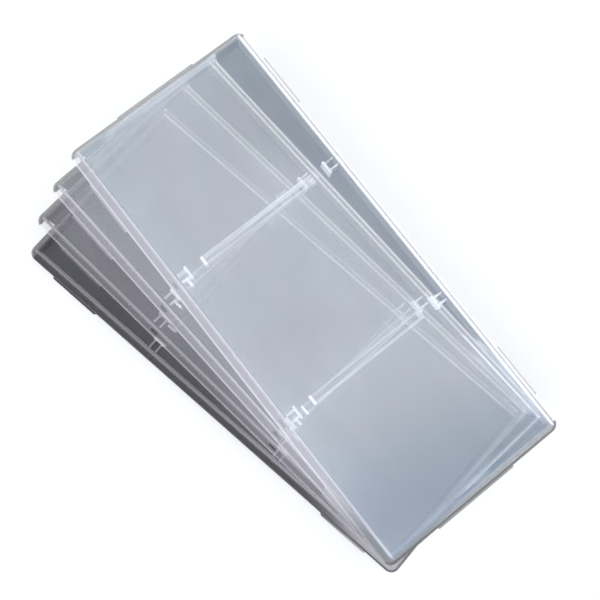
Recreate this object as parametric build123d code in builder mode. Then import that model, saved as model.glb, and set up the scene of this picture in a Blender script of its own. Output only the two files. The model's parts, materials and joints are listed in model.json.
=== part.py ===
from build123d import *
import os

# Four flat, clear, three-compartment cases, stacked flat and fanned about one short end.
# Each case is a tray with a raised wall, and a lift-off lid that closes over that wall.
# Millimetres, +Z up. The origin is the middle of the bottom case's underside, and the
# bottom case's length lies along X. The other cases are fanned at their +X end.

# One case, seen from above
case_length = 247.0
case_width = 105.0
flange_corner_radius = 4.6
flange_width = 3.5          # from the flange's edge to the lid's outer face
lid_corner_radius = 2.6

# Heights and wall thicknesses
floor_thickness = 1.2
inside_depth = 7.0          # from the floor's top to the lid's underside
lid_thickness = 1.2
tray_wall = 1.0
lid_skirt = 1.0
lid_edge_radius = 0.5

# Clearances
lid_clearance = 0.3         # between the tray's wall and the lid's skirt
skirt_lift = 0.6            # between the skirt's lower edge and the flange
peg_clearance = 0.3         # round each peg, inside its socket
peg_lift = 1.0              # between a peg's foot and the floor
rib_drop = 0.4              # between a rib's top and the lid

# Raised bead along the flange's edge
bead_width = 0.9
bead_height = 0.8
bead_edge_radius = 0.3

# Thumb lips that stand out from the flange's edge
lip_reach = 1.0
lip_corner_radius = 0.8
end_lip_length = 46.0
side_lip_length = 29.0
side_lip_setback = 18.0     # from the end of the case to the nearer end of the lip

# Hollow ribs between the compartments, open below
rib_end_gap = 7.7           # from a rib's end to the socket in line with it
rib_width = 4.9
rib_wall = 1.0
rib_edge_radius = 0.3

# Sockets on the inside of the long walls, in line with the ribs
socket_width = 5.0
socket_reach = 6.0          # from the wall's inner face to the socket's inner end
socket_wall = 1.0
socket_end_width = 7.0
socket_end_wall = 1.2

# Recesses in the flange's top, outside the sockets
recess_length = 4.6
recess_width = 1.4
recess_depth = 0.7

# Where each case lies: name, turn about +Z in degrees, and how far the middle of its
# pivoted end has slipped, along X and along Y, from that of the bottom case
fan = (
    ("bottom", 0.0, 0.0, 0.0),
    ("second", -2.9, 2.9, -2.8),
    ("third", -6.7, 2.8, -3.5),
    ("top", -10.8, 2.3, -3.3),
)

# Sizes that follow from those above
compartments = 3
rib_stations = [(i / compartments - 0.5) * case_length for i in range(1, compartments)]
wall_top = floor_thickness + inside_depth
case_height = wall_top + lid_thickness
bead_top = floor_thickness + bead_height
lid_length = case_length - 2 * flange_width
lid_width = case_width - 2 * flange_width
wall_setback = flange_width + lid_skirt + lid_clearance
wall_outer_length = case_length - 2 * wall_setback
wall_outer_width = case_width - 2 * wall_setback
wall_corner_radius = lid_corner_radius - lid_skirt - lid_clearance
wall_inner_face = wall_outer_width / 2 - tray_wall
rib_length = 2 * (wall_inner_face - socket_reach - rib_end_gap)
flange_middle = case_width / 2 - (bead_width + flange_width) / 2
peg_width = socket_width - 2 * socket_wall - 2 * peg_clearance
peg_depth = socket_reach - socket_end_wall - 2 * peg_clearance
peg_middle = wall_inner_face - peg_clearance - peg_depth / 2


def case_plane(level, turn, slip_along, slip_across):
    """The plane of a case's underside, with its origin in the middle of that face."""
    pivot = Plane(origin=(slip_along - case_length / 2, slip_across, level * case_height))
    turned = pivot.rotated((0, 0, turn))
    return Plane(
        origin=turned.from_local_coords((case_length / 2, 0, 0)),
        x_dir=turned.x_dir,
        z_dir=turned.z_dir,
    )


def lip_places():
    """Each lip's middle on the flange's edge, with its size along X and Y."""
    side_lip_middle = case_length / 2 - side_lip_setback - side_lip_length / 2
    for end in (-1, 1):
        yield (end * case_length / 2, 0), (2 * lip_reach, end_lip_length)
        for side in (-1, 1):
            place = (end * side_lip_middle, side * case_width / 2)
            yield place, (side_lip_length, 2 * lip_reach)


def make_tray(base):
    """Floor with flange, lips, recesses and bead, then the wall, sockets and ribs."""
    with BuildPart() as tray:
        with BuildSketch(base):
            RectangleRounded(case_length, case_width, flange_corner_radius)
            for place, (along, across) in lip_places():
                with Locations(place):
                    RectangleRounded(along, across, lip_corner_radius)
        extrude(amount=floor_thickness)

        with BuildSketch(base.offset(floor_thickness)):
            for side in (-1, 1):
                with Locations(*[(x, side * flange_middle) for x in rib_stations]):
                    Rectangle(recess_length, recess_width)
        extrude(amount=-recess_depth, mode=Mode.SUBTRACT)

        with BuildSketch(base.offset(floor_thickness)):
            RectangleRounded(case_length, case_width, flange_corner_radius)
            RectangleRounded(
                case_length - 2 * bead_width,
                case_width - 2 * bead_width,
                flange_corner_radius - bead_width,
                mode=Mode.SUBTRACT,
            )
        extrude(amount=bead_height)
        bead_edges = tray.edges().filter_by_position(Axis.Z, *top_band(base, bead_top))
        fillet(bead_edges, radius=bead_edge_radius)

        with BuildSketch(base.offset(floor_thickness)):
            RectangleRounded(wall_outer_length, wall_outer_width, wall_corner_radius)
            offset(amount=-tray_wall, kind=Kind.INTERSECTION, mode=Mode.SUBTRACT)
            for side in (-1, 1):
                add_socket_outlines(side)
        extrude(amount=inside_depth)

        with BuildSketch(base.offset(floor_thickness)):
            with Locations(*[(x, 0) for x in rib_stations]):
                Rectangle(rib_width, rib_length)
        extrude(amount=inside_depth - rib_drop)
        rib_top = wall_top - rib_drop
        rib_edges = tray.edges().filter_by_position(Axis.Z, *top_band(base, rib_top))
        fillet(rib_edges, radius=rib_edge_radius)

        with BuildSketch(base):
            with Locations(*[(x, 0) for x in rib_stations]):
                Rectangle(rib_width - 2 * rib_wall, rib_length - 2 * rib_wall)
        extrude(amount=rib_top - rib_wall, mode=Mode.SUBTRACT)
    return tray.part


def add_socket_outlines(side):
    """The sockets along one long wall: two side walls and a wider inner end."""
    socket_middle = side * (wall_inner_face - socket_reach / 2)
    opening_middle = side * (wall_inner_face - (socket_reach - socket_end_wall) / 2)
    end_middle = side * (wall_inner_face - socket_reach + socket_end_wall / 2)
    with Locations(*[(x, socket_middle) for x in rib_stations]):
        Rectangle(socket_width, socket_reach)
    with Locations(*[(x, end_middle) for x in rib_stations]):
        Rectangle(socket_end_width, socket_end_wall)
    with Locations(*[(x, opening_middle) for x in rib_stations]):
        Rectangle(
            socket_width - 2 * socket_wall,
            socket_reach - socket_end_wall,
            mode=Mode.SUBTRACT,
        )


def make_lid(base):
    """Top panel on the tray's wall, a skirt outside the wall, and a peg in each socket."""
    with BuildPart() as lid:
        with BuildSketch(base.offset(wall_top)):
            RectangleRounded(lid_length, lid_width, lid_corner_radius)
        extrude(amount=lid_thickness)
        fillet(lid.edges().group_by(Axis.Z)[-1], radius=lid_edge_radius)

        with BuildSketch(base.offset(wall_top)):
            RectangleRounded(lid_length, lid_width, lid_corner_radius)
            RectangleRounded(
                lid_length - 2 * lid_skirt,
                lid_width - 2 * lid_skirt,
                lid_corner_radius - lid_skirt,
                mode=Mode.SUBTRACT,
            )
        extrude(amount=skirt_lift - inside_depth)

        with BuildSketch(base.offset(wall_top)):
            for side in (-1, 1):
                with Locations(*[(x, side * peg_middle) for x in rib_stations]):
                    Rectangle(peg_width, peg_depth)
        extrude(amount=peg_lift - inside_depth)
    return lid.part


def top_band(base, height):
    """The lowest and highest Z of edges that lie at a height above a case's underside."""
    level = base.origin.Z + height
    reach = 0.01
    return level - reach, level + reach


os.makedirs("parts", exist_ok=True)
for level, (name, turn, slip_along, slip_across) in enumerate(fan):
    base = case_plane(level, turn, slip_along, slip_across)
    for piece, part in (("tray", make_tray(base)), ("lid", make_lid(base))):
        part.label = f"{name}_{piece}"
        export_step(part, f"parts/{part.label}.step")
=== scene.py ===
# %% [markdown]
# # Four clear cases, fanned out on a white table
#
# The object is a set of four identical flat cases. Each is a moulded tray with a
# lift-off lid, both of clear plastic, and they lie on one another like a hand of cards.
# The eight solids come from the imported model, which is loaded as a fixed frame. What is
# left for Blender is how clear plastic looks: nearly nothing on its flat panels, and
# bright wherever a wall, rib or rim is seen edge on. That brightness is painted highlight
# in the plastic's colour, and the dark of the bottom tray and of what hangs out past a
# lower case is painted shade.

import json
import math

import bpy
from mathutils import Matrix, Vector


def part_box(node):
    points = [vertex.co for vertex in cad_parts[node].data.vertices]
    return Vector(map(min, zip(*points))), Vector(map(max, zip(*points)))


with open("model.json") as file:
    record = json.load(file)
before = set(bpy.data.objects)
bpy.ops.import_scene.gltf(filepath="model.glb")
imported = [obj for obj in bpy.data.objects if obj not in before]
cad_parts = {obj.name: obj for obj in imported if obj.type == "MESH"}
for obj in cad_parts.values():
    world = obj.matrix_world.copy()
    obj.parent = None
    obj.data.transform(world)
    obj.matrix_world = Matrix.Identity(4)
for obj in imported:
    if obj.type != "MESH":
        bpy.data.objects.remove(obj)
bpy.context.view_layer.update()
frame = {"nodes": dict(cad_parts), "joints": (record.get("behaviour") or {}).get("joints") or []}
print("nodes:", sorted(frame["nodes"]))

# %% [markdown]
# ## Where each case lies
#
# A pattern that belongs to a moulding has to follow the moulding, so each case needs its
# own coordinates: along its length, across its width, and up from its underside. The
# middle of a case is the middle of its box. How far it is turned comes from the hinges:
# each hinge's range is centred on the place where a case lies square on the one below.

# %% Find each case's place
CASES = ("bottom", "second", "third", "top")


def turn_from_square(case):
    """How far a case is turned from the one below, in radians."""
    for joint in frame["joints"]:
        if joint["name"] == f"{case}_case_fan":
            low, high = joint["range_deg"]
            return -math.radians((low + high) / 2)
    return 0.0


places = {}
turn = 0.0
for case in CASES:
    turn += turn_from_square(case)
    low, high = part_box(f"{case}_tray")
    middle = (low + high) / 2
    places[case] = (Vector((middle.x, middle.y, low.z)), turn)
    print(f"{case}: middle {middle.x:.4f}, {middle.y:.4f}, turned {math.degrees(turn):.1f}")

# %% [markdown]
# ## Sizes that the finishes need
#
# The first case isn't turned, so its boxes give the length and width of a tray and of a
# lid. The flange is what the tray has outside the lid. A few sizes of the moulding can't
# be read off a box, so they are named here: they say where along and across a case the
# ribs and sockets stand. All are in metres.

# %% Sizes of a case
THUMB_LIP = 0.0010              # how far a lip stands out from the flange
FLOOR_TOP = 0.0012
RIB_HALF_LENGTH = 0.0330
RIB_SIDE = 0.00135              # where the painted pale highlight along a rib's side starts, from its middle
RIBS_REACH = 0.1000             # ribs and sockets all stand nearer to the case's middle
SOCKET_INNER_END = 0.0407
SOCKET_END_WALL = 0.0012
WALL_INNER_FACE = 0.0467

tray_low, tray_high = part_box("bottom_tray")
lid_low, lid_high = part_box("bottom_lid")
half_length = (tray_high.x - tray_low.x) / 2 - THUMB_LIP
half_width = (tray_high.y - tray_low.y) / 2 - THUMB_LIP
lid_half_length = (lid_high.x - lid_low.x) / 2
lid_half_width = (lid_high.y - lid_low.y) / 2
rib_station = half_length / 3
print(f"case {2000 * half_length:.1f} x {2000 * half_width:.1f} mm")

# %% [markdown]
# ## The camera
#
# It looks almost straight down, rolled so that the cases run from the upper left to the
# lower right. A camera in Blender looks along its own -Z with +Y up, so three unit
# vectors make its rotation.

# %% Place the camera
CAMERA_PLACE = Vector((-0.01346, 0.01558, 0.34960))
CAMERA_VIEW = Vector((0.04459, -0.10668, -0.99329))
CAMERA_UP = Vector((0.65480, -0.74780, 0.10971))
CAMERA_LENS = 40.51        # millimetres, on a sensor 36 mm wide

back = -CAMERA_VIEW.normalized()
right = CAMERA_UP.cross(back).normalized()
up = back.cross(right)
camera_data = bpy.data.cameras.new("camera")
camera_data.sensor_width = 36.0
camera_data.lens = CAMERA_LENS
camera_data.clip_start = 0.01
camera = bpy.data.objects.new("camera", camera_data)
turned = Matrix((right, up, back)).transposed().to_4x4()
camera.matrix_world = Matrix.Translation(CAMERA_PLACE) @ turned
bpy.context.scene.collection.objects.link(camera)
bpy.context.scene.camera = camera
print(f"camera {CAMERA_PLACE.z:.3f} m above the table, lens {CAMERA_LENS} mm")

# %% [markdown]
# ## Nodes, in short
#
# A material is a tree of nodes, and most of the work in a script is adding a node,
# setting it, and joining it to others. These small helpers do that, so that the
# materials below read like the recipe that they are.

# %% Helpers for node trees
def feed(tree, socket, value):
    """Joins an output to a socket, or sets the socket to a plain value."""
    if isinstance(value, bpy.types.NodeSocket):
        tree.links.new(value, socket)
    else:
        socket.default_value = value


def add(tree, kind, inputs=None, **settings):
    """Adds a node, sets its options and feeds its inputs by name or number."""
    made = tree.nodes.new(kind)
    for option, value in settings.items():
        setattr(made, option, value)
    for key, value in (inputs or {}).items():
        feed(tree, made.inputs[key], value)
    return made


def maths(tree, operation, *values):
    """A Math node's output."""
    return add(tree, "ShaderNodeMath", dict(enumerate(values)), operation=operation).outputs[0]


def between(tree, value, start, end):
    """0 up to start and 1 from end, with a smooth step between."""
    inputs = {"Value": value, "From Min": start, "From Max": end}
    made = add(tree, "ShaderNodeMapRange", inputs, interpolation_type="SMOOTHSTEP")
    return made.outputs["Result"]


def product(tree, *values):
    """All the values multiplied together."""
    result = values[0]
    for value in values[1:]:
        result = maths(tree, "MULTIPLY", result, value)
    return result


def band(tree, value, low, high, soft):
    """1 from low to high and 0 outside, with edges that are soft metres wide inside it."""
    rise = between(tree, value, low, low + soft)
    fall = between(tree, value, high, high - soft)
    return product(tree, rise, fall)


def blend(tree, share, a, b):
    """A number that is a where share is 0 and b where it is 1."""
    inputs = {"Factor": share, "A": a, "B": b}
    return add(tree, "ShaderNodeMix", inputs, data_type="FLOAT").outputs["Result"]


# A Mix node has sockets of one name for numbers, vectors and colours, so the colour ones
# are reached by number.
MIX_FACTOR, MIX_A, MIX_B, MIX_RESULT = 0, 6, 7, 2


def blend_colour(tree, share, a, b):
    """A colour that is a where share is 0 and b where it is 1."""
    inputs = {MIX_FACTOR: share, MIX_A: a, MIX_B: b}
    return add(tree, "ShaderNodeMix", inputs, data_type="RGBA").outputs[MIX_RESULT]


def tinted(tree, colour, tint):
    """A colour multiplied by another."""
    inputs = {MIX_FACTOR: 1.0, MIX_A: colour, MIX_B: tint}
    mix = add(tree, "ShaderNodeMix", inputs, data_type="RGBA", blend_type="MULTIPLY")
    return mix.outputs[MIX_RESULT]


def scaled(tree, colour, factor):
    """A colour made lighter or darker by a factor."""
    inputs = {0: colour, "Scale": factor}
    return add(tree, "ShaderNodeVectorMath", inputs, operation="SCALE").outputs[0]


NUMBER, VECTOR = "NodeSocketFloat", "NodeSocketVector"


def new_group(name, inputs, outputs):
    """An empty shader node group with named inputs, and outputs that are numbers."""
    tree = bpy.data.node_groups.new(name, "ShaderNodeTree")
    for socket, kind, value in inputs:
        made = tree.interface.new_socket(socket, in_out="INPUT", socket_type=kind)
        if value is not None:
            made.default_value = value
    for socket in outputs:
        tree.interface.new_socket(socket, in_out="OUTPUT", socket_type=NUMBER)
    given = tree.nodes.new("NodeGroupInput").outputs
    made = tree.nodes.new("NodeGroupOutput").inputs
    return tree, given, made


# %% [markdown]
# ## Which part of the moulding is this?
#
# Clear plastic shows its shape by its edges. This group sorts every point of a case by
# the way its face looks, by how high it is and by where it lies along and across the
# case. Masks made from the shape fit it exactly, with no texture to paint, and they say
# where the painted highlights and shade of the finishes go. The group has many outputs,
# so it is built in four cells.

# %% Group: parts of the moulding
tree, given, made = new_group(
    "parts_of_the_moulding",
    [("Own", VECTOR, None), ("Floor Top", NUMBER, FLOOR_TOP)],
    [
        "Upright", "Steep", "Raised", "Flange", "End", "Bead", "Rib Line", "Rib End", "Socket",
        "Socket End", "Recess", "Fan Side", "Pivot End", "Lid Line", "Near End", "Stacked Edge",
    ],
)
moulding_parts = tree
geometry = add(tree, "ShaderNodeNewGeometry")
normal = add(tree, "ShaderNodeSeparateXYZ", {0: geometry.outputs["Normal"]})
flatness = maths(tree, "ABSOLUTE", normal.outputs["Z"])
own = add(tree, "ShaderNodeSeparateXYZ", {0: given["Own"]})
along_case, across_case, up_case = own.outputs
along = maths(tree, "ABSOLUTE", along_case)
across = maths(tree, "ABSOLUTE", across_case)
above_floor = maths(tree, "SUBTRACT", up_case, given["Floor Top"])

# %% [markdown]
# A face is upright when its normal has little height in it, and raised when it is flat
# but stands above the floor, as the tops of walls do. The flange is all that lies past
# the lid's edge, and its bead is the part of it that isn't flat floor.

# %% Group: faces and the flange
LID_EDGE_SOFT = 0.0001
FLAT_FACE, UPRIGHT_FACE = 0.97, 0.55            # how much of a face's normal points up
LEANING_WALL, STEEP_WALL = 0.35, 0.15           # the same, on faces that are nearly vertical
ON_THE_FLOOR, OFF_THE_FLOOR = 0.0002, 0.0006    # heights above the floor's top
upright = between(tree, flatness, FLAT_FACE, UPRIGHT_FACE)
not_upright = maths(tree, "SUBTRACT", 1.0, upright)
lifted = between(tree, above_floor, ON_THE_FLOOR, OFF_THE_FLOOR)
flat_top = product(tree, lifted, not_upright)
inside = between(tree, along, RIBS_REACH, RIBS_REACH - 0.0010)
near_ribs = between(tree, across, RIB_HALF_LENGTH + 0.0010, RIB_HALF_LENGTH + 0.0008)
in_ribs = product(tree, near_ribs, inside)
raised = product(tree, flat_top, maths(tree, "SUBTRACT", 1.0, in_ribs))
past_end = between(tree, along, lid_half_length - LID_EDGE_SOFT, lid_half_length + LID_EDGE_SOFT)
past_side = between(tree, across, lid_half_width - LID_EDGE_SOFT, lid_half_width + LID_EDGE_SOFT)
flange = maths(tree, "MAXIMUM", past_end, past_side)
feed(tree, made["Upright"], upright)
feed(tree, made["Steep"], between(tree, flatness, LEANING_WALL, STEEP_WALL))
feed(tree, made["Raised"], raised)
feed(tree, made["Flange"], flange)
feed(tree, made["End"], past_end)
feed(tree, made["Bead"], product(tree, flange, maths(tree, "MAXIMUM", upright, raised)))

# %% [markdown]
# Ribs and sockets are found by their distance across the case. A rib shows a pale line
# down each side and a bright end, both painted highlights. A recess is a flat face that
# lies below the floor's top and looks up, which the case's underside doesn't; it gets
# painted shade.

# %% Group: ribs, sockets and recesses
RIB_LINE_SOFT = 0.00015
RIB_END_BACK, RIB_END_FRONT = 0.0015, 0.0004    # how far a bright end reaches, both ways
IN_A_RECESS = (-0.0003, -0.0005)                # heights above the floor's top
LOOKS_UP = (0.3, 0.6)                           # how much of a face's normal points up
not_floor = product(tree, inside, maths(tree, "MAXIMUM", upright, flat_top))
from_rib = maths(tree, "ABSOLUTE", maths(tree, "SUBTRACT", along, rib_station))
rib_side = between(tree, from_rib, RIB_SIDE - RIB_LINE_SOFT, RIB_SIDE + RIB_LINE_SOFT)
end_back, end_front = RIB_HALF_LENGTH - RIB_END_BACK, RIB_HALF_LENGTH + RIB_END_FRONT
rib_end = band(tree, across_case, end_back, end_front, 0.0003)
socket = band(tree, across, SOCKET_INNER_END - 0.0006, WALL_INNER_FACE - 0.0001, 0.0002)
end_wall_back = SOCKET_INNER_END + SOCKET_END_WALL
socket_end = band(tree, across, SOCKET_INNER_END - 0.0003, end_wall_back + 0.0003, 0.0002)
pocket = between(tree, above_floor, *IN_A_RECESS)
looks_up = between(tree, normal.outputs["Z"], *LOOKS_UP)
feed(tree, made["Rib Line"], product(tree, lifted, in_ribs, rib_side))
feed(tree, made["Rib End"], product(tree, rib_end, not_floor))
feed(tree, made["Socket"], product(tree, socket, inside))
feed(tree, made["Socket End"], product(tree, socket_end, not_floor))
feed(tree, made["Recess"], product(tree, pocket, inside, looks_up))

# %% [markdown]
# The last masks are about the whole case: the side that the fan opens to, the pivoted
# end, the strip where the cases' other long edges are stacked, and the line that a lid
# shows over its skirt. They place painted light and shade: painted shade towards the
# pivoted end, painted light along the stacked edges, and a painted highlight for the
# lid's line. Near End says which edge of the lid is the nearer one. A pair in brackets
# says where a mask starts and where it is full, from the case's middle.

# %% Group: sides, ends and the lid's line
FAN_SIDE = (0.010, -0.010)
PIVOT_END = (-0.050, -0.125)
PIVOT_LEAN = 0.3            # so that the pivoted end's mask is full sooner at the stacked edges
STACK_ALONG, STACK_ACROSS = (0.020, -0.070), (0.012, 0.045)
LINE_START, LINE_END, LINE_SOFT = 0.0003, 0.0020, 0.0005    # in from the lid's edge
towards_pivot = maths(tree, "SUBTRACT", along_case, product(tree, across_case, PIVOT_LEAN))
towards_stack = between(tree, along_case, *STACK_ALONG)
outer_strip = between(tree, across_case, *STACK_ACROSS)
from_end = maths(tree, "SUBTRACT", lid_half_length, along)
from_side = maths(tree, "SUBTRACT", lid_half_width, across)
inset = maths(tree, "MINIMUM", from_end, from_side)
lid_line = band(tree, inset, LINE_START, LINE_END, LINE_SOFT)
feed(tree, made["Fan Side"], between(tree, across_case, *FAN_SIDE))
feed(tree, made["Pivot End"], between(tree, towards_pivot, *PIVOT_END))
feed(tree, made["Stacked Edge"], product(tree, towards_stack, outer_strip))
feed(tree, made["Lid Line"], product(tree, lid_line, not_upright))
nearer_end = maths(tree, "SUBTRACT", from_side, from_end)
feed(tree, made["Near End"], between(tree, nearer_end, -0.0003, 0.0003))
print(moulding_parts.name, "has", len(moulding_parts.nodes), "nodes")

# %% [markdown]
# ## Cloudy plastic
#
# A thin clear moulding is never quite even. The melt flows out from the gate and sets in
# soft clouds and long faint streaks, a little bluer in one place and more lilac in
# another. Noises give that: a broad one for the clouds, one that is stretched along the
# case for the streaks, and one for the drift of the hue. The seed moves the noises, so no
# two pieces have the same clouds.

# %% Group: clouds and streaks
tree, given, made = new_group(
    "clouds_and_streaks",
    [("Own", VECTOR, None), ("Seed", NUMBER, 0.0)],
    ["Cloud", "Streak", "Hue"],
)
clouds_and_streaks = tree
EVEN = (1.0, 1.0, 1.0)
ALONG_THE_CASE = (0.35, 2.2, 1.0)
HUE_SEED_STEP = 7.0         # so that the hue doesn't drift with the clouds


def cloud_noise(tree, vector, stretch, scale, detail, seed):
    """A flat noise in metres, stretched along a case, and moved by a seed."""
    moved = add(tree, "ShaderNodeVectorMath", {0: vector, 1: seed}, operation="ADD").outputs[0]
    placed = add(tree, "ShaderNodeMapping", {"Vector": moved, "Scale": stretch})
    inputs = {"Vector": placed.outputs[0], "Scale": scale, "Detail": detail}
    return add(tree, "ShaderNodeTexNoise", inputs, noise_dimensions="2D").outputs["Fac"]


point, seed = given["Own"], given["Seed"]
hue_seed = maths(tree, "ADD", seed, HUE_SEED_STEP)
cloud = cloud_noise(tree, point, EVEN, scale=22.0, detail=3.0, seed=seed)
streak = cloud_noise(tree, point, ALONG_THE_CASE, scale=60.0, detail=4.0, seed=seed)
hue = cloud_noise(tree, point, EVEN, scale=32.0, detail=1.0, seed=hue_seed)
feed(tree, made["Cloud"], between(tree, cloud, 0.25, 0.75))
feed(tree, made["Streak"], between(tree, streak, 0.3, 0.7))
feed(tree, made["Hue"], between(tree, hue, 0.35, 0.65))
print(clouds_and_streaks.name, "has", len(clouds_and_streaks.nodes), "nodes")

# %% [markdown]
# ## Uneven gloss
#
# A thin panel shrinks a little unevenly as it cools, so its gloss is never the same all
# over. One more soft noise gives a drift in the roughness. It is a drift and not a bump,
# because a panel this thin and flat has no waves that could be seen.

# %% Group: uneven gloss
tree, given, made = new_group(
    "uneven_gloss",
    [("Own", VECTOR, None), ("Seed", NUMBER, 0.0)],
    ["Roughness"],
)
uneven_gloss = tree
GLOSSIEST, DULLEST = 0.20, 0.28
drift = cloud_noise(tree, given["Own"], EVEN, scale=45.0, detail=1.0, seed=given["Seed"])
feed(tree, made["Roughness"], blend(tree, drift, GLOSSIEST, DULLEST))
print(uneven_gloss.name, "has", len(uneven_gloss.nodes), "nodes")

# %% [markdown]
# ## Where a case hangs over
#
# Over a dark ground, clear plastic looks dark where it lies on its own, and each film on
# top of it adds a pale veil. So a case looks darker where it hangs out past the one
# below. The table here is white, so that dark is painted shade in the finish itself. This
# group tells whether a point lies past the long edge of the case below, on the side that
# the fan opens to, or past its ends, which is where that painted shade goes. The limits
# lie a little inside the edges below, because those edges are farther down and are seen
# at a slant. They are the edges at rest: when the fan is opened or closed, the masks, and
# the painted shade with them, ride along with their own case.

# %% Group: past the case below
tree, given, made = new_group(
    "past_the_case_below", [("Below", VECTOR, None)], ["Past Side", "Past End"]
)
past_the_case_below = tree
SIDE_SET_IN, END_SET_IN = 0.0023, 0.0047    # from the edges below to the limits
below = add(tree, "ShaderNodeSeparateXYZ", {0: given["Below"]})
towards_fan = product(tree, below.outputs["Y"], -1.0)
towards_end = maths(tree, "ABSOLUTE", below.outputs["X"])
side_limit, end_limit = half_width - SIDE_SET_IN, half_length - END_SET_IN
feed(tree, made["Past Side"], between(tree, towards_fan, side_limit - 0.0004, side_limit + 0.0004))
feed(tree, made["Past End"], between(tree, towards_end, end_limit - 0.0005, end_limit + 0.0005))
print(past_the_case_below.name, "has", len(past_the_case_below.nodes), "nodes")

# %% [markdown]
# ## Clear moulded plastic
#
# Real glass shading would need dozens of bounces through eight shells, and a web viewer
# can't show one glass behind another. So the plastic is a thin film instead: each front
# face covers a share of what is behind it, by its Alpha, with its own colour, which also
# carries painted light and shade, and back faces are left out. Where cases overlap, flat
# panels cover little, and walls and ribs get a paler finish on top, a painted highlight.
# The bottom tray, and what hangs out past the case below, are painted dark, a painted
# shade, and cover nearly all of what is behind them. In the cells below, a finish is a
# pair: a colour, and how much it covers.

# %% Helpers for finishes
def own_coordinates(tree, case):
    """Coordinates along, across and up from the underside of a case."""
    middle, turned = places[case]
    inputs = {
        "Vector": add(tree, "ShaderNodeTexCoord").outputs["Object"],
        "Location": middle,
        "Rotation": (0.0, 0.0, turned),
    }
    return add(tree, "ShaderNodeMapping", inputs, vector_type="TEXTURE").outputs[0]


def group(tree, shared, **inputs):
    """Places a shared group and feeds it. Input names use _ for a space."""
    made = tree.nodes.new("ShaderNodeGroup")
    made.node_tree = shared
    for key, value in inputs.items():
        feed(tree, made.inputs[key.replace("_", " ")], value)
    return made.outputs


def grey(level, blue=0.0):
    """A grey with a little more blue than red."""
    return (level * (1.0 - blue), level, level * (1.0 + blue), 1.0)


def lilac(level):
    """A grey with a little less green."""
    return (level, level * 0.965, level * 1.05, 1.0)


WHITE = grey(1.0)


def finish(tree, share, first, second):
    """A finish that is first where share is 0 and second where it is 1."""
    colour = blend_colour(tree, share, first[0], second[0])
    cover = blend(tree, share, first[1], second[1])
    return colour, cover


def by_side(tree, parts, tone, name):
    """A finish that has another painted tone of light and shade on the side that the fan opens to."""
    return finish(tree, parts["Fan Side"], tone[name], tone[name + "_fan_side"])


# %% [markdown]
# ## Flat panels
#
# A panel's tone drifts with the clouds and streaks, and gets deeper towards the pivoted
# end, a painted shade. A tray's floor has darker tones, painted shade, where it hangs out
# past the case below, and the strip where the long edges are stacked is painted lighter.
# Steep faces get less light from the lamps than the panel beside them, so they are made
# lighter.

# %% Flat panels
BLUER = (0.96, 1.0, 1.01, 1.0)
MORE_LILAC = (1.0, 0.985, 1.025, 1.0)
CLOUD_LIFT, STREAK_LIFT = (0.93, 1.06), (0.97, 1.03)
STEEP_LIFT = 1.6
PIVOT_SHADE_PAST_END = 0.4       # how much of the painted pivot shade is left past the case below


def panel_clouds_light_and_shade(tree, case, piece, tone, own, parts, seed):
    """The finish of a lid's top or a tray's floor, with its clouds, its painted shade and its painted
    light.
    """
    panel = tone[piece]
    pivot_share = parts["Pivot End"]
    if case != "bottom":
        lower = own_coordinates(tree, CASES[CASES.index(case) - 1])
        past = group(tree, past_the_case_below, Below=lower)
        pivot_share = product(tree, pivot_share, blend(tree, past["Past End"], 1.0, PIVOT_SHADE_PAST_END))
        if piece == "tray":
            # painted shade: the tray's floor is darker where it hangs out past the case below
            panel = finish(tree, past["Past End"], panel, tone["tray_past_end_shade"])
            panel = finish(tree, past["Past Side"], panel, tone["tray_past_shade"])
    clouds = group(tree, clouds_and_streaks, Own=own, Seed=seed)
    hue = blend_colour(tree, clouds["Hue"], BLUER, MORE_LILAC)
    # painted shade, deeper towards the pivoted end
    pivot_shade = blend_colour(tree, pivot_share, WHITE, tone["pivot_shade"])
    lift = product(
        tree,
        blend(tree, clouds["Cloud"], *CLOUD_LIFT),
        blend(tree, clouds["Streak"], *STREAK_LIFT),
        # painted light along the strip where the long edges are stacked
        blend(tree, parts["Stacked Edge"], 1.0, tone["stacked_edge_light"]),
        blend(tree, parts["Steep"], 1.0, STEEP_LIFT),
    )
    colour = tinted(tree, tinted(tree, panel[0], hue), pivot_shade)
    return scaled(tree, colour, lift), panel[1]


# %% [markdown]
# ## Walls, ribs and rounded edges
#
# A wall that is seen from above still has the floor's film under it, so it keeps the
# panel's finish and only adds a share of a paler one, a painted highlight that is brighter
# on the side that the fan opens to. Rounded edges gather light and get the most. Sockets,
# with many small faces, get more than plain walls. Layer Weight's Facing, which grows as a
# face is seen edge on, sets the share of steep faces.

# %% Walls, ribs and rounded edges
# shares of the painted highlight that walls, rims and ribs add to the panel
WALL_SHARE, SOCKET_WALL_SHARE = 0.06, 0.25
WALL_TOP_SHARE, SOCKET_TOP_SHARE = 0.08, 0.5
RIB_LINE_SHARE = 0.26
ROUNDED_SHARE = {"tray": 0.35, "lid": 0.2}


def with_walls(tree, piece, tone, parts, panel):
    """The panel's finish with the walls' painted highlight added, and how much of an edge each point
    is.
    """
    facing = add(tree, "ShaderNodeLayerWeight", {"Blend": 0.5}).outputs["Facing"]
    steep = product(tree, facing, blend(tree, parts["Socket"], WALL_SHARE, SOCKET_WALL_SHARE))
    share = blend(tree, parts["Steep"], ROUNDED_SHARE[piece], steep)
    share = product(tree, share, parts["Upright"])
    top_share = blend(tree, parts["Socket"], WALL_TOP_SHARE, SOCKET_TOP_SHARE)
    share = blend(tree, parts["Raised"], share, top_share)
    share = blend(tree, parts["Rib Line"], share, RIB_LINE_SHARE)
    # the walls' paler tone is a painted highlight, brighter on the side that the fan opens to
    colour, cover = by_side(tree, parts, tone, "wall")
    wall = (colour, maths(tree, "MAXIMUM", cover, panel[1]))
    return finish(tree, share, panel, wall), share


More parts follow.
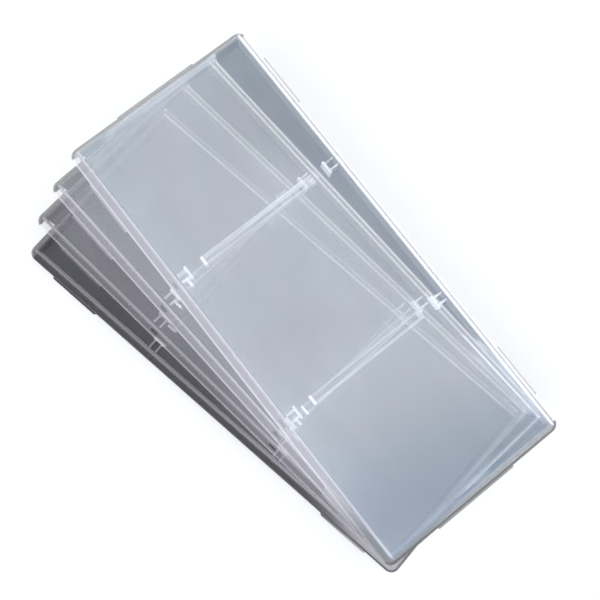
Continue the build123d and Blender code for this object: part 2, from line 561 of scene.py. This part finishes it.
# %% [markdown]
# ## A tray's rim
#
# Outside the lid lies the flange with its raised bead. Their tones are painted light and
# shade, and both have other painted tones at the ends and near the pivoted corner, where
# all four rims lie over one another. On the cases above the bottom one the bead fades
# into the rim towards that corner, except on the side that the fan opens to. Recesses in
# the flange get painted shade. The ends of ribs and sockets catch the light, and are
# painted nearly white, a painted glint.

# %% A tray's rim
GLINT = (WHITE, 0.9)
SOCKET_GLINT = 0.4


def with_rim(tree, case, tone, parts, surface, edges):
    """A tray's finish with its flange and bead, the painted shade of its recesses and the painted
    glints of bright ends added.
    """
    # painted light and shade on the rim: other tones at the ends and near the pivoted corner
    corner = maths(tree, "POWER", parts["Pivot End"], 3.0)
    rim = finish(tree, parts["End"], by_side(tree, parts, tone, "flange"), tone["flange_end"])
    rim = finish(tree, corner, rim, tone["flange_pivot"])
    bead = by_side(tree, parts, tone, "bead")
    if case != "bottom":
        faded = finish(tree, parts["Fan Side"], rim, tone["bead_fan_side"])
        bead = finish(tree, parts["Pivot End"], bead, faded)
    bead_end = finish(tree, corner, tone["bead_end"], tone["bead_pivot"])
    bead = finish(tree, parts["End"], bead, bead_end)
    # painted shade in the recesses
    rim = finish(tree, parts["Recess"], rim, tone["recess_shade"])
    surface = finish(tree, parts["Flange"], surface, rim)
    surface = finish(tree, parts["Bead"], surface, bead)
    glints = maths(tree, "MAXIMUM", parts["Rib End"], product(tree, parts["Socket End"], SOCKET_GLINT))
    surface = finish(tree, glints, surface, GLINT)
    return surface, maths(tree, "MAXIMUM", edges, parts["Bead"])


# %% [markdown]
# ## A lid's line
#
# Over its skirt a lid shows one pale line, just inside its edge, a painted highlight. It
# is brighter on the side that the fan opens to and fainter along the ends.

# %% A lid's line
def with_line(tree, tone, parts, surface, edges):
    """A lid's finish with the painted highlight line over its skirt added."""
    # a painted highlight line, brighter on the fan side and fainter along the ends
    line = finish(tree, parts["Near End"], by_side(tree, parts, tone, "line"), tone["line_end"])
    surface = finish(tree, parts["Lid Line"], surface, line)
    return surface, maths(tree, "MAXIMUM", edges, parts["Lid Line"])


# %% [markdown]
# ## The film
#
# One Principled BSDF gives the film its colour and cover, with a faint painted glow along
# the edges: an emission that stands for the light real plastic carries along its walls
# and lets out there. A thin gloss lies over it. Two switches follow: back faces are left
# out, and a shadow ray sees only a faint veil, so that eight shells don't cast a black
# shadow on the table.

# %% The film
INDEX_OF_PLASTIC = 1.49
# a painted glow: the edges emit a share of their own colour
EDGE_LIGHT = 0.35
UPRIGHT_ROUGHNESS = 0.5
PANEL_GLOSS, UPRIGHT_GLOSS = 0.2, 0.05
VEIL = (0.982, 0.985, 0.988, 1.0)


def add_film(tree, surface, edges, upright, roughness):
    """The shader of one piece, from its finish and its masks."""
    colour, cover = surface
    film = add(tree, "ShaderNodeBsdfPrincipled", {
        "Base Color": colour,
        "Alpha": cover,
        "Roughness": blend(tree, upright, roughness, UPRIGHT_ROUGHNESS),
        "IOR": INDEX_OF_PLASTIC,
        "Specular IOR Level": 0.2,
        "Emission Color": scaled(tree, colour, product(tree, edges, EDGE_LIGHT)),
        "Emission Strength": 1.0,
    }).outputs[0]
    gloss = add(tree, "ShaderNodeBsdfGlossy", {"Color": WHITE, "Roughness": 0.12}).outputs[0]
    sheen = add(tree, "ShaderNodeFresnel", {"IOR": INDEX_OF_PLASTIC}).outputs[0]
    gloss_share = product(tree, sheen, blend(tree, upright, PANEL_GLOSS, UPRIGHT_GLOSS))
    glossy = add(tree, "ShaderNodeMixShader", {0: gloss_share, 1: film, 2: gloss}).outputs[0]
    clear = add(tree, "ShaderNodeBsdfTransparent").outputs[0]
    back_face = add(tree, "ShaderNodeNewGeometry").outputs["Backfacing"]
    front = add(tree, "ShaderNodeMixShader", {0: back_face, 1: glossy, 2: clear}).outputs[0]
    veil = add(tree, "ShaderNodeBsdfTransparent", {"Color": VEIL}).outputs[0]
    shadow_ray = add(tree, "ShaderNodeLightPath").outputs["Is Shadow Ray"]
    shade = add(tree, "ShaderNodeMixShader", {0: shadow_ray, 1: front, 2: veil})
    add(tree, "ShaderNodeOutputMaterial", {"Surface": shade.outputs[0]})


# %% [markdown]
# ## One piece's plastic
#
# Now the cells above come together. Trays and lids share everything but the last step,
# where a tray gets its rim and a lid its line. A lid has no floor, so its floor is put
# above every point, and nothing on it counts as raised.

# %% Build one piece's plastic
NO_FLOOR = 0.1              # a height above every point, for a piece that has no floor


def clear_plastic(case, piece, seed, tone):
    """The plastic of one case's tray or lid."""
    material = bpy.data.materials.new(f"{case}_{piece}_plastic")
    material.use_nodes = True
    tree = material.node_tree
    tree.nodes.clear()
    own = own_coordinates(tree, case)
    floor_top = FLOOR_TOP if piece == "tray" else NO_FLOOR
    parts = group(tree, moulding_parts, Own=own, Floor_Top=floor_top)
    roughness = group(tree, uneven_gloss, Own=own, Seed=seed)["Roughness"]
    panel = panel_clouds_light_and_shade(tree, case, piece, tone, own, parts, seed)
    surface, edges = with_walls(tree, piece, tone, parts, panel)
    if piece == "tray":
        surface, edges = with_rim(tree, case, tone, parts, surface, edges)
    else:
        surface, edges = with_line(tree, tone, parts, surface, edges)
    add_film(tree, surface, edges, parts["Upright"], roughness)
    return material


# %% [markdown]
# ## Each case's tones, with their painted light and shade
#
# The bottom case lies on its own and is painted dark grey, a painted shade: its tray lets
# almost nothing show through. Each case above adds a thin veil, so the fan gets paler step
# by step, and is palest where all four overlap; those steps are painted light and shade.
# Entries with past in their names are for what hangs out past the case below, are painted
# shade, and are nearly opaque too. The wall and line entries are painted highlights, the
# flange and bead entries painted light and shade, and the recess entries painted shade.
# Every finish is a colour and how much it covers. Two entries are factors instead: the one
# for the pivoted end is the painted shade that the panel's colour is multiplied by there,
# and the one for the stacked edge the painted light that it is multiplied by in the strip
# where the long edges are stacked. Where a case lies over the one below, a flat panel's
# colour times its cover stays under a quarter. Near a quarter, the renderer's denoiser
# takes some of the panel for a solid surface, whose border shows as a thin line.

# %% Tones of the four cases
tones = {
    "bottom": {
        "lid": (lilac(0.04), 0.3),
        "line": (lilac(0.55), 0.21),
        "line_fan_side": (grey(0.95), 0.45),
        "line_end": (grey(0.5), 0.12),
        "tray": (lilac(0.138), 1.0),
        "pivot_shade": (0.93, 0.93, 0.93, 1.0),
        "stacked_edge_light": 1.9,
        "flange": (lilac(0.085), 1.0),
        "flange_fan_side": (grey(0.22), 0.95),
        "flange_end": (grey(0.16), 0.95),
        "flange_pivot": (lilac(0.42), 0.95),
        "bead": (lilac(0.065), 0.95),
        "bead_fan_side": (grey(0.45), 0.9),
        "bead_end": (grey(0.19), 0.9),
        "bead_pivot": (grey(0.11), 0.95),
        "wall": (grey(0.5), 0.8),
        "wall_fan_side": (grey(0.7), 0.8),
        "recess_shade": (grey(0.03), 0.9),
    },
    "second": {
        "lid": (lilac(0.45), 0.16),
        "line": (lilac(0.55), 0.3),
        "line_fan_side": (grey(0.95), 0.45),
        "line_end": (grey(0.6), 0.12),
        "tray": (lilac(0.37), 0.22),
        "tray_past_shade": (lilac(0.133), 0.97),
        "tray_past_end_shade": (lilac(0.15), 0.97),
        "pivot_shade": (1.0, 1.0, 1.0, 1.0),
        "stacked_edge_light": 1.25,
        "flange": (lilac(0.42), 0.25),
        "flange_fan_side": (grey(0.20), 0.9),
        "flange_end": (grey(0.14), 0.9),
        "flange_pivot": (lilac(0.45), 0.35),
        "bead": (lilac(0.58), 0.37),
        "bead_fan_side": (grey(0.50), 0.9),
        "bead_end": (grey(0.20), 0.9),
        "bead_pivot": (grey(0.30), 0.8),
        "wall": (grey(0.6), 0.8),
        "wall_fan_side": (grey(0.8), 0.8),
        "recess_shade": (grey(0.08), 0.6),
    },
    "third": {
        "lid": (grey(0.42, 0.04), 0.16),
        "line": (lilac(0.80), 0.26),
        "line_fan_side": (grey(1.0), 0.5),
        "line_end": (grey(0.7), 0.12),
        "tray": (grey(0.65, 0.03), 0.27),
        "tray_past_shade": (grey(0.198, 0.05), 0.97),
        "tray_past_end_shade": (grey(0.28, 0.03), 0.97),
        "pivot_shade": (1.0, 1.0, 1.0, 1.0),
        "stacked_edge_light": 1.1,
        "flange": (lilac(0.62), 0.35),
        "flange_fan_side": (grey(0.22), 0.9),
        "flange_end": (grey(0.15), 0.88),
        "flange_pivot": (lilac(0.45), 0.4),
        "bead": (lilac(0.75), 0.4),
        "bead_fan_side": (grey(0.54), 0.9),
        "bead_end": (grey(0.23), 0.9),
        "bead_pivot": (grey(0.30), 0.8),
        "wall": (grey(0.7), 0.8),
        "wall_fan_side": (grey(0.9), 0.8),
        "recess_shade": (grey(0.25), 0.5),
    },
    "top": {
        "lid": (grey(0.61, 0.10), 0.18),
        "line": (lilac(0.85), 0.24),
        "line_fan_side": (grey(1.0), 0.64),
        "line_end": (grey(0.8), 0.06),
        "tray": (grey(0.97, 0.04), 0.22),
        "tray_past_shade": (grey(0.243, 0.11), 0.97),
        "tray_past_end_shade": (grey(0.41, 0.06), 0.97),
        "pivot_shade": (0.46, 0.56, 0.66, 1.0),
        "stacked_edge_light": 1.0,
        "flange": (lilac(0.65), 0.4),
        "flange_fan_side": (lilac(0.40), 0.5),
        "flange_end": (grey(0.36, 0.02), 0.78),
        "flange_pivot": (grey(0.25, 0.05), 0.82),
        "bead": (lilac(0.85), 0.42),
        "bead_fan_side": (grey(0.78), 0.72),
        "bead_end": (grey(0.25), 0.92),
        "bead_pivot": (grey(0.13), 0.95),
        "wall": (grey(0.85), 0.8),
        "wall_fan_side": (grey(1.0), 0.9),
        "recess_shade": (grey(0.45), 0.4),
    },
}

# %% [markdown]
# Each piece gets a plastic of its own, because its tones, its place and the seed of its
# clouds differ. The finishes and the shared groups are the same.

# %% Give each piece its plastic
PIECES = ("tray", "lid")
SEED_STEP = 3.0             # between one case's clouds and the next case's
for number, case in enumerate(CASES):
    for extra, piece in enumerate(PIECES):
        node = frame["nodes"][f"{case}_{piece}"]
        plastic = clear_plastic(case, piece, SEED_STEP * number + extra, tones[case])
        node.data.materials.clear()
        node.data.materials.append(plastic)
print("materials:", len(bpy.data.materials))

# %% [markdown]
# ## The table
#
# A white table, so that the plastic is seen against nothing. It is a little rough and
# has hardly any gloss, so it shows no second image of the cases.

# %% Table
TABLE_HALF = 4.0
TABLE_TOP = -0.0002         # just under the object, so that no two faces coincide
signs = ((-1, -1), (1, -1), (1, 1), (-1, 1))
corners = [(x * TABLE_HALF, y * TABLE_HALF, TABLE_TOP) for x, y in signs]
table_mesh = bpy.data.meshes.new("table")
table_mesh.from_pydata(corners, [], [(0, 1, 2, 3)])
table = bpy.data.objects.new("table", table_mesh)
bpy.context.scene.collection.objects.link(table)
table_white = bpy.data.materials.new("table_white")
table_white.use_nodes = True
table_shader = table_white.node_tree.nodes["Principled BSDF"]
table_shader.inputs["Base Color"].default_value = (0.94, 0.94, 0.94, 1.0)
table_shader.inputs["Roughness"].default_value = 0.8
table_shader.inputs["Specular IOR Level"].default_value = 0.1
table_mesh.materials.append(table_white)
print(f"table {2 * TABLE_HALF:.0f} m wide")

# %% [markdown]
# ## The light
#
# Two broad soft lamps hang over the table, one to each side, and a pale room, which is
# the world's background, fills in the rest.

# %% Lamps and world
LAMP_AIM = Vector((0.0, 0.0, 0.02))
LAMP_SIZE = 1.0


def soft_lamp(name, place, power):
    """A square lamp that looks at the middle of the object."""
    data = bpy.data.lights.new(name, "AREA")
    data.shape = "SQUARE"
    data.size = LAMP_SIZE
    data.energy = power
    lamp = bpy.data.objects.new(name, data)
    lamp.location = place
    lamp.rotation_euler = (LAMP_AIM - Vector(place)).to_track_quat("-Z", "Y").to_euler()
    bpy.context.scene.collection.objects.link(lamp)
    print(f"{name}: {power:.0f} W")


soft_lamp("lamp_left", (0.2, 1.1, 1.2), 17.0)
soft_lamp("lamp_right", (-0.45, -1.5, 1.35), 21.0)

world = bpy.data.worlds.new("room")
world.use_nodes = True
room = world.node_tree.nodes["Background"].inputs
room["Color"].default_value = (0.93, 0.95, 1.0, 1.0)
room["Strength"].default_value = 0.43
bpy.context.scene.world = world

# %% [markdown]
# ## Light paths
#
# A ray from above goes through up to eight shells, with walls and ribs between, so it
# needs many transparent steps before it reaches the table.

# %% Light paths and tone
scene = bpy.context.scene
scene.cycles.transparent_max_bounces = 64
scene.view_settings.view_transform = "Standard"
print("transparent steps:", scene.cycles.transparent_max_bounces)
